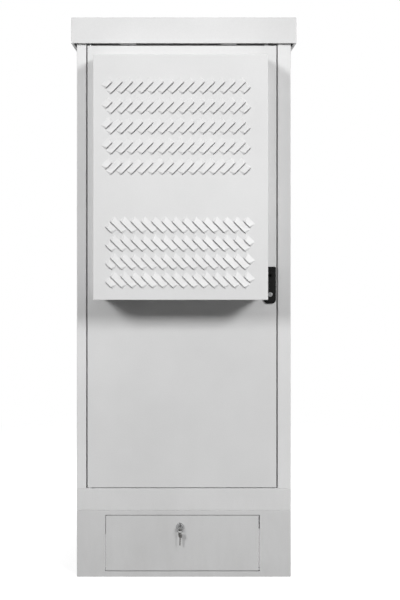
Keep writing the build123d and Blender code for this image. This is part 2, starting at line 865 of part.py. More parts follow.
# Hood: a folded box open at the bottom and at the back, with flanges against the door
hood_top = hood_bottom + hood_height
hood_front = front_y - hood_depth
hood_left = hood_x - hood_width / 2
hood_face = Plane((hood_x, hood_front, hood_bottom), x_dir=(1, 0, 0), z_dir=(0, -1, 0))
full_places = []
short_places = []
for first_z, pitch, rows, lean in (
    (upper_first_z, upper_pitch, upper_rows, 1),
    (lower_first_z, lower_pitch, lower_rows, -1),
):
    for row in range(rows):
        full, short = louvre_places(first_z + row * pitch, lean)
        full_places += full
        short_places += short
full_outside, full_inside = louvre_shell(louvre_length)
short_outside, short_inside = louvre_shell(louvre_short * louvre_length)

with BuildPart() as hood:
    with BuildSketch(Plane.YZ.offset(hood_left)):
        with BuildLine():
            Polyline(
                (front_y, hood_bottom), (hood_front, hood_bottom), (hood_front, hood_top),
                (front_y, hood_top + hood_rise), (front_y, hood_bottom),
            )
        make_face()
    extrude(amount=hood_width)
    front_edges = hood.faces().sort_by(Axis.Y)[0].edges()
    fillet(front_edges.filter_by(Axis.Z) + front_edges.filter_by(Axis.X).sort_by(Axis.Z)[-1:], bend)
    with BuildSketch(Plane.YZ.offset(hood_left + sheet)):
        with BuildLine():
            Polyline(
                (front_y, hood_bottom), (hood_front + sheet, hood_bottom),
                (hood_front + sheet, hood_top - sheet),
                (front_y, hood_top + hood_rise - sheet), (front_y, hood_bottom),
            )
        make_face()
    extrude(amount=hood_width - 2 * sheet, mode=Mode.SUBTRACT)
    # Flanges on the door, and the hem along the front's lower edge
    inner_width = hood_width - 2 * sheet
    inner_height = hood_height + hood_rise - sheet
    with BuildSketch(Plane((hood_x, front_y, hood_bottom), x_dir=(1, 0, 0), z_dir=(0, -1, 0))):
        Rectangle(inner_width, inner_height, align=(Align.CENTER, Align.MIN))
        Rectangle(
            inner_width - 2 * hood_flange, inner_height - hood_flange,
            align=(Align.CENTER, Align.MIN), mode=Mode.SUBTRACT,
        )
        with Locations((0, hood_bolt_z - hood_bottom)):
            with GridLocations(hood_bolt_width, hood_bolt_pitch, 2, hood_bolt_rows):
                Circle(hood_bolt / 2, mode=Mode.SUBTRACT)
    extrude(amount=sheet)
    with BuildSketch(Plane.XY.offset(hood_bottom)):
        with Locations((hood_x, hood_front + sheet)):
            Rectangle(inner_width, hood_hem - sheet, align=(Align.CENTER, Align.MIN))
    extrude(amount=sheet)
    with Locations(full_places):
        add(full_outside)
    with Locations(short_places):
        add(short_outside)
    with Locations(full_places):
        add(full_inside, mode=Mode.SUBTRACT)
    with Locations(short_places):
        add(short_inside, mode=Mode.SUBTRACT)

hood.part.label = "hood"
export_step(hood.part, "parts/hood.step")

# Bolts from inside the door into nuts on the hood's flanges
bolt_plane = Plane((hood_x, front_y, hood_bolt_z), x_dir=(1, 0, 0), z_dir=(0, -1, 0))
with BuildPart() as hood_bolts:
    for offset_y, height, shape in (
        (-sheet, 2 * sheet, "shank"),
        (-sheet, -bolt_head_height * hood_bolt, "head"),
        (sheet, bolt_nut_height * hood_bolt, "nut"),
    ):
        with BuildSketch(bolt_plane.offset(offset_y)):
            with GridLocations(hood_bolt_width, hood_bolt_pitch, 2, hood_bolt_rows):
                if shape == "shank":
                    Circle(hood_bolt / 2)
                else:
                    RegularPolygon(bolt_head_radius * hood_bolt, 6)
        extrude(amount=height)

hood_bolts.part.label = "hood_bolts"
export_step(hood_bolts.part, "parts/hood_bolts.step")

# Hat-shaped stiffeners across the inside of the door
stiffener_left = door_left + sheet
stiffener_right = handle_x - cam_radius - stiffener_length_gap
with BuildPart() as door_stiffeners:
    for level in door_stiffener_levels:
        half_hat = door_stiffener_width / 2
        hat_front = front_y + sheet
        hat_back = hat_front + door_stiffener_depth
        with BuildSketch(Plane.YZ.offset(stiffener_left)):
            with BuildLine():
                FilletPolyline(
                    (hat_front, level - half_hat),
                    (hat_front, level - half_hat / 2),
                    (hat_back, level - half_hat / 2),
                    (hat_back, level + half_hat / 2),
                    (hat_front, level + half_hat / 2),
                    (hat_front, level + half_hat),
                    radius=bend,
                )
                offset(amount=sheet, side=Side.RIGHT)
            make_face()
        extrude(amount=stiffener_right - stiffener_left)

door_stiffeners.part.label = "door_stiffeners"
export_step(door_stiffeners.part, "parts/door_stiffeners.step")

# Two fans on the inside of the door, each a square housing, a rotor and a guard
fan_back_y = front_y + sheet + fan_depth
motor_radius = fan_hub / 2
fan_spots = [(door_x - fan_spacing / 2, "left"), (door_x + fan_spacing / 2, "right")]
for fan_x, side in fan_spots:
    fan_plane = Plane((fan_x, front_y + sheet, fan_z), x_dir=(1, 0, 0), z_dir=(0, 1, 0))
    with BuildPart() as fan_housing:
        with BuildSketch(fan_plane):
            Rectangle(fan_size, fan_size)
            Circle(fan_bore / 2, mode=Mode.SUBTRACT)
        extrude(amount=fan_depth)
        with BuildSketch(fan_plane.offset(fan_depth)):
            Rectangle(fan_size, fan_strut_width)
            Rectangle(fan_strut_width, fan_size)
            Circle(motor_radius)
        extrude(amount=-fan_strut_depth)
        with BuildSketch(fan_plane.offset(fan_depth - fan_strut_depth)):
            Circle(fan_shaft / 2)
        extrude(amount=-fan_shaft)

    fan_housing.part.label = "fan_housing_" + side
    export_step(fan_housing.part, "parts/fan_housing_" + side + ".step")

    hub_back = fan_depth - fan_strut_depth - rotor_gap
    blade_root = motor_radius - blade_overlap
    blade_tip = fan_bore / 2 - fan_tip_clearance
    with BuildPart() as fan_rotor:
        with BuildSketch(fan_plane.offset(rotor_front)):
            Circle(motor_radius)
        extrude(amount=hub_back - rotor_front)
        for blade in range(fan_blades):
            turned = Plane(fan_plane.location * Location((0, 0, 0), (0, 0, 360 / fan_blades * blade)))
            middle = (hub_back + rotor_front) / 2
            sections = (
                (blade_root, blade_root_chord, blade_root_angle),
                (blade_tip, blade_tip_chord, blade_tip_angle),
            )
            for radius, chord, pitch_angle in sections:
                place = turned.location * Location((radius, 0, middle), (0, 90, 0))
                with BuildSketch(Plane(place * Location((0, 0, 0), (0, 0, pitch_angle)))):
                    Rectangle(chord, blade_thickness)
            loft()
        with BuildSketch(fan_plane.offset(hub_back)):
            Circle(fan_shaft / 2 + running_clearance)
        extrude(amount=-(fan_shaft - rotor_gap + seat_gap), mode=Mode.SUBTRACT)

    fan_rotor.part.label = "fan_rotor_" + side
    export_step(fan_rotor.part, "parts/fan_rotor_" + side + ".step")

    guard_span = fan_bore + 2 * guard_bar
    with BuildPart() as fan_guard:
        with BuildSketch(fan_plane.offset(fan_depth)):
            Rectangle(fan_size, fan_size)
            Rectangle(guard_span, guard_span, mode=Mode.SUBTRACT)
            with GridLocations(guard_span / (guard_bars + 1), 0, guard_bars, 1):
                Rectangle(guard_bar, fan_size - guard_bar)
            Rectangle(fan_size - guard_bar, guard_bar)
        extrude(amount=guard_bar)

    fan_guard.part.label = "fan_guard_" + side
    export_step(fan_guard.part, "parts/fan_guard_" + side + ".step")

# Air filter behind the lower louvres: a frame on the door and the mat in it
filter_plane = Plane((door_x, front_y + sheet, filter_z), x_dir=(1, 0, 0), z_dir=(0, 1, 0))
with BuildPart() as filter_frame:
    with BuildSketch(filter_plane):
        Rectangle(filter_width, filter_height)
        Rectangle(filter_width - 2 * filter_border, filter_height - 2 * filter_border, mode=Mode.SUBTRACT)
    extrude(amount=filter_depth)
    with BuildSketch(filter_plane.offset(filter_depth)):
        with GridLocations(filter_width / 4, 0, 3, 1):
            Rectangle(guard_bar, filter_height)
        Rectangle(filter_width, guard_bar)
    extrude(amount=-guard_bar)

filter_frame.part.label = "filter_frame"
export_step(filter_frame.part, "parts/filter_frame.step")

with BuildPart() as filter_mat:
    with BuildSketch(filter_plane):
        Rectangle(
            filter_width - 2 * filter_border - 2 * seat_gap,
            filter_height - 2 * filter_border - 2 * seat_gap,
        )
    extrude(amount=filter_depth - guard_bar)

filter_mat.part.label = "filter_mat"
export_step(filter_mat.part, "parts/filter_mat.step")

# Handle: dish, hub with its spindle, lever on a pin, and the lock cylinder in the lever
handle_plane = Plane((handle_x, front_y, handle_z), x_dir=(1, 0, 0), z_dir=(0, -1, 0))
dish_top = spindle_drop
dish_low = spindle_drop - dish_height
with BuildPart() as handle_dish:
    with BuildSketch(handle_plane) as dish_outline:
        with Locations((0, dish_top)):
            Rectangle(dish_width, dish_height, align=(Align.CENTER, Align.MAX))
        fillet(dish_outline.vertices().group_by(Axis.Y)[0], dish_corner)
        fillet(dish_outline.vertices().group_by(Axis.Y)[-1], dish_top_corner)
    extrude(amount=dish_thickness)
    chamfer(handle_dish.faces().sort_by(Axis.Y)[0].edges(), dish_chamfer)
    with BuildSketch(handle_plane.offset(dish_thickness)):
        Circle(hub_radius + running_clearance)
    extrude(amount=-(dish_thickness - dish_floor), mode=Mode.SUBTRACT)
    with BuildSketch(handle_plane):
        Circle(spindle / 2 + running_clearance)
    extrude(amount=dish_floor, mode=Mode.SUBTRACT)

handle_dish.part.label = "handle_dish"
export_step(handle_dish.part, "parts/handle_dish.step")

lever_back = dish_thickness + seat_gap
pivot_height = lever_back + lever_thickness / 2
with BuildPart() as handle_hub:
    with BuildSketch(handle_plane.offset(dish_thickness)):
        Circle(hub_radius)
    extrude(amount=-(dish_thickness - dish_floor - running_clearance))
    with BuildSketch(handle_plane.offset(dish_thickness)):
        Circle(spindle / 2)
    extrude(amount=-(dish_thickness + (cam_y + cam_thickness - front_y)))
    ear = lever_thickness / 2 - tongue_inset
    with BuildSketch(Plane.YZ.offset(handle_x - tongue_of_hub / 2)):
        with Locations((front_y - pivot_height, handle_z)):
            Circle(ear)
        with Locations((front_y - dish_thickness + dish_floor, handle_z)):
            Rectangle(
                pivot_height - dish_thickness + dish_floor, 2 * ear, align=(Align.MAX, Align.CENTER)
            )
        with Locations((front_y - pivot_height, handle_z)):
            Circle(lever_pin / 2, mode=Mode.SUBTRACT)
    extrude(amount=tongue_of_hub)

handle_hub.part.label = "handle_hub"
export_step(handle_hub.part, "parts/handle_hub.step")

# The lever is a shell, open towards the dish, with a slot over the hub's tongue
lever_head = lever_thickness / 2
with BuildPart() as handle_lever:
    with BuildSketch(handle_plane.offset(lever_back)) as lever_outline:
        with BuildLine():
            Polyline(
                (-lever_width / 2, 0), (lever_width / 2, 0), (lever_tip_width / 2, -lever_length),
                (-lever_tip_width / 2, -lever_length), (-lever_width / 2, 0),
            )
        make_face()
        fillet(lever_outline.vertices().group_by(Axis.Y)[0], lever_tip_corner)
    extrude(amount=lever_thickness)
    fillet(handle_lever.faces().sort_by(Axis.Y)[0].edges().group_by(Axis.Z)[0:3], lever_round)
    with BuildSketch(Plane.YZ.offset(handle_x - lever_width / 2)):
        with Locations((front_y - pivot_height, handle_z)):
            Circle(lever_head)
    extrude(amount=lever_width)
    slot_depth = ear + lever_head
    with BuildSketch(handle_plane.offset(lever_back - seat_gap)):
        Rectangle(tongue_of_hub + 2 * sliding_clearance, 2 * slot_depth)
    extrude(amount=lever_thickness + 2 * seat_gap, mode=Mode.SUBTRACT)
    with BuildSketch(handle_plane.offset(lever_back)) as hollow:
        with Locations((0, -slot_depth - lever_wall)):
            Rectangle(
                lever_tip_width - 2 * lever_wall, cylinder_drop - slot_depth - cylinder_diameter,
                align=(Align.CENTER, Align.MAX),
            )
    extrude(amount=lever_thickness - lever_wall, mode=Mode.SUBTRACT)
    with Locations(handle_plane.location * Location((0, -cylinder_drop, 0))):
        Hole(cylinder_diameter / 2)
    with Locations(Plane((handle_x, front_y - pivot_height, handle_z), z_dir=(1, 0, 0)).location):
        Hole(lever_pin / 2 + running_clearance)

handle_lever.part.label = "handle_lever"
export_step(handle_lever.part, "parts/handle_lever.step")

with BuildPart() as handle_pin:
    with BuildSketch(Plane.YZ.offset(handle_x - lever_width / 2 + lever_wall)):
        with Locations((front_y - pivot_height, handle_z)):
            Circle(lever_pin / 2)
    extrude(amount=lever_width - 2 * lever_wall)

handle_pin.part.label = "handle_pin"
export_step(handle_pin.part, "parts/handle_pin.step")

cylinder_plane = Plane((handle_x, front_y, handle_z - cylinder_drop), x_dir=(1, 0, 0), z_dir=(0, -1, 0))
with BuildPart() as lever_lock:
    with BuildSketch(cylinder_plane.offset(lever_back)):
        Circle(cylinder_diameter / 2)
    extrude(amount=lever_thickness + cylinder_proud)
    chamfer(lever_lock.faces().sort_by(Axis.Y)[0].edges(), cylinder_chamfer)
    with BuildSketch(cylinder_plane.offset(lever_back + lever_thickness + cylinder_proud)):
        Rectangle(key_thickness, key_blade_height)
    extrude(amount=-lever_thickness / 2, mode=Mode.SUBTRACT)

lever_lock.part.label = "lever_lock"
export_step(lever_lock.part, "parts/lever_lock.step")

# Cam on the spindle, with two crank pins that drive the rods
crank_y = crank_radius * sqrt(2) / 2
cam_plane = Plane((handle_x, cam_y, handle_z), x_dir=(1, 0, 0), z_dir=(0, 1, 0))
with BuildPart() as rod_cam:
    with BuildSketch(cam_plane):
        Circle(cam_radius)
        Circle(spindle / 2, mode=Mode.SUBTRACT)
    extrude(amount=cam_thickness)
    with BuildSketch(cam_plane.offset(cam_thickness)):
        with PolarLocations(crank_radius, 2, 45):
            Circle(crank_pin / 2)
    extrude(amount=2 * seat_gap + rod_thickness)

rod_cam.part.label = "rod_cam"
export_step(rod_cam.part, "parts/rod_cam.step")

# Lock rods: flat bars that slide in guides, each driven by a slot round its crank pin
slot_width = crank_pin + crank_radius - crank_y + 2 * sliding_clearance
slot_tall = crank_pin + crank_slot_play
upper_tip = header_z - rod_tip_gap
lower_tip = sill_z + rod_tip_gap
rods = (("upper_rod", upper_rod_x, 1, upper_tip), ("lower_rod", lower_rod_x, -1, lower_tip))
for rod_name, rod_x, way, tip_z in rods:
    pin_z = handle_z + way * crank_y
    rod_start = pin_z - way * rod_end
    with BuildPart() as rod:
        with BuildSketch(Plane.XZ.offset(-(rod_y - rod_thickness / 2))):
            with Locations((rod_x, (rod_start + tip_z) / 2)):
                Rectangle(rod_width, abs(tip_z - rod_start))
            with Locations((rod_x, pin_z)):
                Rectangle(slot_width, slot_tall, mode=Mode.SUBTRACT)
        extrude(amount=-rod_thickness)
        tip_edges = rod.edges().filter_by(Axis.Y).sort_by(Axis.Z)
        chamfer(tip_edges[-2:] if way > 0 else tip_edges[:2], rod_thickness)

    rod.part.label = rod_name
    export_step(rod.part, "parts/" + rod_name + ".step")

guide_back = rod_y + rod_thickness / 2 + sliding_clearance + guide_wall
guide_spots = []
for rod_name, rod_x, way, tip_z in rods:
    guide_spots.append((rod_x, tip_z - way * guide_inset))
    guide_spots.append((rod_x, (tip_z + handle_z) / 2))
    guide_spots.append((rod_x, handle_z + way * guide_inset))
with BuildPart() as rod_guides:
    with BuildSketch(Plane.XZ.offset(-(front_y + sheet))):
        with Locations(guide_spots):
            Rectangle(rod_width + 2 * sliding_clearance + 2 * guide_wall, guide_height)
    extrude(amount=-(guide_back - front_y - sheet))
    with BuildSketch(Plane.XZ.offset(-(rod_y - rod_thickness / 2 - sliding_clearance))):
        with Locations(guide_spots):
            Rectangle(rod_width + 2 * sliding_clearance, guide_height)
    extrude(amount=-(rod_thickness + 2 * sliding_clearance), mode=Mode.SUBTRACT)

rod_guides.part.label = "rod_guides"
export_step(rod_guides.part, "parts/rod_guides.step")

# Equipment rails with square holes, three to a unit, on bars that run from front to back
rail_inner = rail_spacing / 2 - rail_hole / 2 - rail_edge
rail_outer = rail_inner + rail_flange
rail_z = rail_bottom + rail_height / 2
rail_rows = (("front", rail_front_y, 1), ("rear", rail_rear_y, -1))
for row_name, rail_y, web_way in rail_rows:
    for side_name, side in (("left", -1), ("right", 1)):
        with BuildPart() as rail:
            with BuildSketch(Plane.XZ.offset(-rail_y)):
                with Locations((side * (rail_inner + rail_flange / 2), rail_z)):
                    Rectangle(rail_flange, rail_height)
                for step in (-1, 0, 1):
                    with Locations((side * rail_spacing / 2, rail_z + step * rail_hole_step)):
                        with GridLocations(1, rail_unit, 1, rail_units):
                            Rectangle(rail_hole, rail_hole, mode=Mode.SUBTRACT)
            extrude(amount=-web_way * sheet)
            with BuildSketch(Plane.XZ.offset(-rail_y)):
                with Locations((side * (rail_outer - sheet / 2), rail_z)):
                    Rectangle(sheet, rail_height)
            extrude(amount=-web_way * rail_web)

        rail_name = "rack_rail_" + row_name + "_" + side_name
        rail.part.label = rail_name
        export_step(rail.part, "parts/" + rail_name + ".step")

bar_front = rebate_y + sheet
bar_rear = rear_y - 2 * sheet
bar_flange = half_width - bend - rail_outer
for side_name, side in (("left", -1), ("right", 1)):
    with BuildPart() as depth_bars:
        for level in range(bar_levels):
            with BuildSketch(Plane.XZ.offset(-bar_front)):
                bar_z = bar_first_z + level * bar_spacing
                with Locations((side * (rail_outer + bar_flange / 2), bar_z)):
                    Rectangle(bar_flange, bar_height)
                with Locations((side * (rail_outer + bar_flange / 2 + sheet), bar_z)):
                    Rectangle(bar_flange, bar_height - 2 * sheet, mode=Mode.SUBTRACT)
            extrude(amount=-(bar_rear - bar_front))

    bars_name = "depth_bars_" + side_name
    depth_bars.part.label = bars_name
    export_step(depth_bars.part, "parts/" + bars_name + ".step")

# Floor plate on the base frame's flanges, with cable grommets and an earth bar
with BuildPart() as floor_plate:
    with BuildSketch(Plane.XY.offset(sill_z)):
        with Locations((0, bar_front)):
            Rectangle(body_width - 2 * bend, bar_rear - bar_front, align=(Align.CENTER, Align.MIN))
        with Locations((0, grommet_y)):
            with GridLocations(grommet_pitch, 1, grommet_count, 1):
                Circle(grommet_hole / 2, mode=Mode.SUBTRACT)
    extrude(amount=sheet)

floor_plate.part.label = "floor_plate"
export_step(floor_plate.part, "parts/floor_plate.step")

with BuildPart() as cable_grommets:
    for level, radius, height in (
        (sill_z - grommet_lip / 2, grommet_hole / 2 + grommet_lip, grommet_lip / 2),
        (sill_z, grommet_hole / 2, sheet),
        (sill_z + sheet, grommet_hole / 2 + grommet_lip, grommet_lip / 2),
    ):
        with BuildSketch(Plane.XY.offset(level)):
            with Locations((0, grommet_y)):
                with GridLocations(grommet_pitch, 1, grommet_count, 1):
                    Circle(radius)
                    Circle(grommet_bore / 2, mode=Mode.SUBTRACT)
        extrude(amount=height)

cable_grommets.part.label = "cable_grommets"
export_step(cable_grommets.part, "parts/cable_grommets.step")

earth_z = sill_z + sheet + earth_standoff
with BuildPart() as earth_bar:
    with BuildSketch(Plane.XY.offset(earth_z)):
        with Locations((0, earth_y)):
            Rectangle(earth_length, earth_width)
    extrude(amount=earth_thickness)

earth_bar.part.label = "earth_bar"
export_step(earth_bar.part, "parts/earth_bar.step")

with BuildPart() as earth_standoffs:
    with BuildSketch(Plane.XY.offset(sill_z + sheet)):
        with Locations((0, earth_y)):
            with GridLocations(earth_length - earth_width, 1, 2, 1):
                RegularPolygon(standoff_radius, 6)
    extrude(amount=earth_standoff)

earth_standoffs.part.label = "earth_standoffs"
export_step(earth_standoffs.part, "parts/earth_standoffs.step")

earth_bolt_pitch = (earth_length - earth_width) / (earth_bolts_along - 1)
with BuildPart() as earth_bolts:
    with BuildSketch(Plane.XY.offset(earth_z + earth_thickness)):
        with Locations((0, earth_y)):
            with GridLocations(earth_bolt_pitch, 1, earth_bolts_along, 1):
                RegularPolygon(panel_screw_head / 2, 6)
    extrude(amount=panel_screw_head / 2)

earth_bolts.part.label = "earth_bolts"
export_step(earth_bolts.part, "parts/earth_bolts.step")
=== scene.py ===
import math

import bmesh
import bpy
from mathutils import Matrix, Vector


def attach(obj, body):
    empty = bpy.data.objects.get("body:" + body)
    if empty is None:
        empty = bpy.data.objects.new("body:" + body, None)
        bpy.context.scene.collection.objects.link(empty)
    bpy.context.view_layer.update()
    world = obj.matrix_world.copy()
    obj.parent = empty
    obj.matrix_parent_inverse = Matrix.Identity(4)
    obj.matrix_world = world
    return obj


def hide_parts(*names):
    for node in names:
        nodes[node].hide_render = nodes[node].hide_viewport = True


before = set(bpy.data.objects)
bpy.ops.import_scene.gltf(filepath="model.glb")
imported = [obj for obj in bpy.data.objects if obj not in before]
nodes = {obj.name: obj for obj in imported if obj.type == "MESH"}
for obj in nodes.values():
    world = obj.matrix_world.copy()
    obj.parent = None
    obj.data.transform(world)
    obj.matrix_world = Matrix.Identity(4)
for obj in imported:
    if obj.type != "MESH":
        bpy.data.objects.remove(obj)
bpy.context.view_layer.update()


# Materials: colours are sRGB levels of 0 to 255, and lengths are metres

BEVEL_SAMPLES = 4
EDGE_STARTS, EDGE_FULL = 0.995, 0.80
BLACKEST, WHITEST = 2, 250
# Near the ground the paint turns darker: partly dust, partly painted shade of the light falling off
# towards the floor
DUST_AND_SHADE_TOP = 0.34
DUST_AND_SHADE_DARKER = 44
DUST_AND_SHADE_TINT = (1.02, 1.0, 0.96)


class Graph:
    """A small helper that adds and links shader nodes."""

    def __init__(self, name):
        self.material = bpy.data.materials.new(name)
        self.material.use_nodes = True
        self.tree = self.material.node_tree
        self.tree.nodes.clear()
        self.out = self.add("ShaderNodeOutputMaterial")
        self.coords = self.add("ShaderNodeTexCoord").outputs["Object"]

    def add(self, kind, **values):
        node = self.tree.nodes.new(kind)
        for key, value in values.items():
            setattr(node, key, value)
        return node

    def link(self, a, b):
        self.tree.links.new(a, b)

    def feed(self, node, socket, value):
        if isinstance(value, bpy.types.NodeSocket):
            self.link(value, node.inputs[socket])
        else:
            node.inputs[socket].default_value = value

    def noise(self, scale, detail=3.0, roughness=0.5, stretch=None):
        """Cloudy noise in metres, drawn out along an axis by stretch."""
        node = self.add("ShaderNodeTexNoise")
        node.inputs["Scale"].default_value = scale
        node.inputs["Detail"].default_value = detail
        node.inputs["Roughness"].default_value = roughness
        source = self.coords
        if stretch:
            mapping = self.add("ShaderNodeMapping")
            mapping.inputs["Scale"].default_value = stretch
            self.link(self.coords, mapping.inputs["Vector"])
            source = mapping.outputs["Vector"]
        self.link(source, node.inputs["Vector"])
        return node.outputs["Fac"]

    def cells(self, scale):
        """A cell pattern, with a distance and a colour for each cell."""
        node = self.add("ShaderNodeTexVoronoi")
        node.inputs["Scale"].default_value = scale
        self.link(self.coords, node.inputs["Vector"])
        return node

    def math(self, operation, a, b=0.0, clamp=False):
        node = self.add("ShaderNodeMath", operation=operation, use_clamp=clamp)
        self.feed(node, 0, a)
        self.feed(node, 1, b)
        return node.outputs[0]

    def remap(self, value, low, high, to_low=0.0, to_high=1.0):
        node = self.add("ShaderNodeMapRange")
        self.feed(node, "Value", value)
        node.inputs["From Min"].default_value = low
        node.inputs["From Max"].default_value = high
        node.inputs["To Min"].default_value = to_low
        node.inputs["To Max"].default_value = to_high
        return node.outputs["Result"]

    def mix(self, factor, a, b):
        node = self.add("ShaderNodeMix", data_type="RGBA")
        self.feed(node, "Factor", factor)
        for socket, value in (("A", a), ("B", b)):
            target = [s for s in node.inputs if s.name == socket and s.type == "RGBA"][0]
            if isinstance(value, bpy.types.NodeSocket):
                self.link(value, target)
            else:
                target.default_value = (*value, 1.0)
        return [s for s in node.outputs if s.type == "RGBA"][0]

    def edges(self, radius):
        """A rounded normal for the sharp edges, and how strongly each point is on one."""
        bevel = self.add("ShaderNodeBevel", samples=BEVEL_SAMPLES)
        bevel.inputs["Radius"].default_value = radius
        plain = self.add("ShaderNodeNewGeometry")
        dot = self.add("ShaderNodeVectorMath", operation="DOT_PRODUCT")
        self.link(bevel.outputs["Normal"], dot.inputs[0])
        self.link(plain.outputs["Normal"], dot.inputs[1])
        return bevel.outputs["Normal"], self.remap(dot.outputs["Value"], EDGE_STARTS, EDGE_FULL)

    def bump(self, height, distance, strength=1.0, normal=None):
        node = self.add("ShaderNodeBump")
        node.inputs["Strength"].default_value = strength
        node.inputs["Distance"].default_value = distance
        self.feed(node, "Height", height)
        if normal is not None:
            self.link(normal, node.inputs["Normal"])
        return node.outputs["Normal"]

    def shader(self, **values):
        node = self.add("ShaderNodeBsdfPrincipled")
        for key, value in values.items():
            self.feed(node, key.replace("_", " "), value)
        self.link(node.outputs["BSDF"], self.out.inputs["Surface"])
        return self.material


WHITE = (1.0, 1.0, 1.0)


def grey(level, tint=WHITE):
    """A linear colour from an sRGB level of 0 to 255."""
    value = level / 255
    linear = value / 12.92 if value <= 0.04045 else ((value + 0.055) / 1.055) ** 2.4
    return tuple(linear * t for t in tint)


def powder_coat(name, level, ground_dust_and_shade, spread=5):
    """Satin powder coat: cloudy colour, fine orange peel, edges lighter as rubbed wear and painted
    highlight, and darker near the ground as dust and painted shade.
    """
    peel_depth, edge_radius, rub_and_highlight_lighter, gloss = 0.00006, 0.0014, 16, 0.42
    g = Graph(name)
    clouds = g.noise(2.6, 4.0, 0.55)
    flecks = g.noise(260.0, 2.0, 0.6)
    tone = g.math("ADD", g.math("MULTIPLY", clouds, 0.75), g.math("MULTIPLY", flecks, 0.25))
    paint = g.mix(g.remap(tone, 0.35, 0.65), grey(level - spread), grey(level + spread))
    rounded, edge = g.edges(edge_radius)
    # Lighter edges: partly rubbed wear, partly a painted highlight along the folds and bends
    wear_and_highlight_patches = g.remap(g.noise(38.0, 4.0, 0.65), 0.42, 0.62, 0.15, 0.8)
    rub = g.math("MULTIPLY", edge, wear_and_highlight_patches, True)
    paint = g.mix(rub, paint, grey(min(level + rub_and_highlight_lighter, WHITEST)))
    # Darker towards the ground, in streaks: partly dust, partly painted shade
    place = g.add("ShaderNodeSeparateXYZ")
    g.link(g.coords, place.inputs[0])
    low = g.remap(place.outputs["Z"], DUST_AND_SHADE_TOP, 0.0)
    streaks = g.remap(g.noise(14.0, 5.0, 0.7, (1.0, 1.0, 0.35)), 0.35, 0.75)
    dust = g.math("MULTIPLY", g.math("MULTIPLY", low, streaks, True), ground_dust_and_shade)
    paint = g.mix(dust, paint, grey(level - DUST_AND_SHADE_DARKER, DUST_AND_SHADE_TINT))
    rough = g.remap(g.noise(22.0, 4.0, 0.6), 0.3, 0.7, 0.40, 0.50)
    rough = g.math("ADD", rough, g.math("MULTIPLY", dust, 0.6), True)
    rough = g.math("SUBTRACT", rough, g.math("MULTIPLY", rub, 0.08), True)
    coarse_peel = g.math("MULTIPLY", g.noise(150.0, 1.0, 0.4), 0.7)
    peel = g.math("ADD", g.noise(520.0, 2.0, 0.5), coarse_peel)
    normal = g.bump(peel, peel_depth, 1.0, rounded)
    return g.shader(Base_Color=paint, Roughness=rough, Normal=normal, Specular_IOR_Level=gloss)


def plated(name, level, tint, rough, grain, streak=None, wear=14, patch=9.0):
    """Bare or plated metal, with patches, grain and brighter edges."""
    grain_depth, edge_radius, darker, lighter, whitest = 0.00003, 0.0006, 12, 10, 252
    g = Graph(name)
    patches = g.noise(patch, 4.0, 0.6)
    fine = g.noise(grain, 3.0, 0.6, streak)
    tone = g.math("ADD", g.math("MULTIPLY", patches, 0.55), g.math("MULTIPLY", fine, 0.45))
    colour = g.mix(g.remap(tone, 0.32, 0.68), grey(level - darker, tint), grey(level + lighter, tint))
    rounded, edge = g.edges(edge_radius)
    rub = g.math("MULTIPLY", edge, g.remap(g.noise(120.0, 3.0), 0.35, 0.6, 0.3, 1.0), True)
    colour = g.mix(rub, colour, grey(min(level + wear, whitest), tint))
    roughness = g.remap(tone, 0.3, 0.7, rough + 0.07, rough - 0.05)
    normal = g.bump(fine, grain_depth, 0.8, rounded)
    return g.shader(Base_Color=colour, Metallic=1.0, Roughness=roughness, Normal=normal)


def spangle(name, level):
    """Galvanised sheet, with the flat crystals of the zinc."""
    crystal_depth, edge_radius = 0.00002, 0.0008
    dark, light, bloomed, rubbed = level - 16, level + 12, level - 30, level + 22
    g = Graph(name)
    facet = g.add("ShaderNodeSeparateColor")
    g.link(g.cells(85.0).outputs["Color"], facet.inputs[0])
    bloom = g.math("MULTIPLY", g.remap(g.noise(7.0, 4.0, 0.6), 0.5, 0.75), 0.4)
    colour = g.mix(facet.outputs[0], grey(dark, (0.98, 1.0, 1.02)), grey(light))
    colour = g.mix(bloom, colour, grey(bloomed))
    rounded, edge = g.edges(edge_radius)
    colour = g.mix(g.math("MULTIPLY", edge, 0.6), colour, grey(rubbed))
    roughness = g.remap(facet.outputs[1], 0.0, 1.0, 0.34, 0.52)
    relief = g.math("ADD", facet.outputs[2], g.noise(600.0, 2.0))
    normal = g.bump(relief, crystal_depth, 0.7, rounded)
    return g.shader(Base_Color=colour, Metallic=1.0, Roughness=roughness, Normal=normal)


def moulded(name, level, tint=WHITE, rough=0.45, grain=900.0, depth=0.00004, gloss=0.5, wear=28):
    """Moulded plastic, rubber or lacquer with a fine skin and greyed edges."""
    edge_radius, darker, lighter = 0.0007, 5, 6
    g = Graph(name)
    skin = g.noise(grain, 3.0, 0.6)
    haze = g.noise(16.0, 4.0, 0.6)
    dark, light = grey(max(level - darker, BLACKEST), tint), grey(level + lighter, tint)
    colour = g.mix(g.remap(haze, 0.3, 0.7), dark, light)
    rounded, edge = g.edges(edge_radius)
    rub = g.math("MULTIPLY", edge, g.remap(g.noise(70.0, 4.0), 0.4, 0.65, 0.1, 0.9), True)
    colour = g.mix(rub, colour, grey(min(level + wear, WHITEST), tint))
    dulled = g.remap(haze, 0.3, 0.7, rough - 0.05, rough + 0.06)
    roughness = g.math("ADD", dulled, g.math("MULTIPLY", rub, 0.1))
    normal = g.bump(skin, depth, 0.8, rounded)
    return g.shader(Base_Color=colour, Roughness=roughness, Normal=normal, Specular_IOR_Level=gloss)


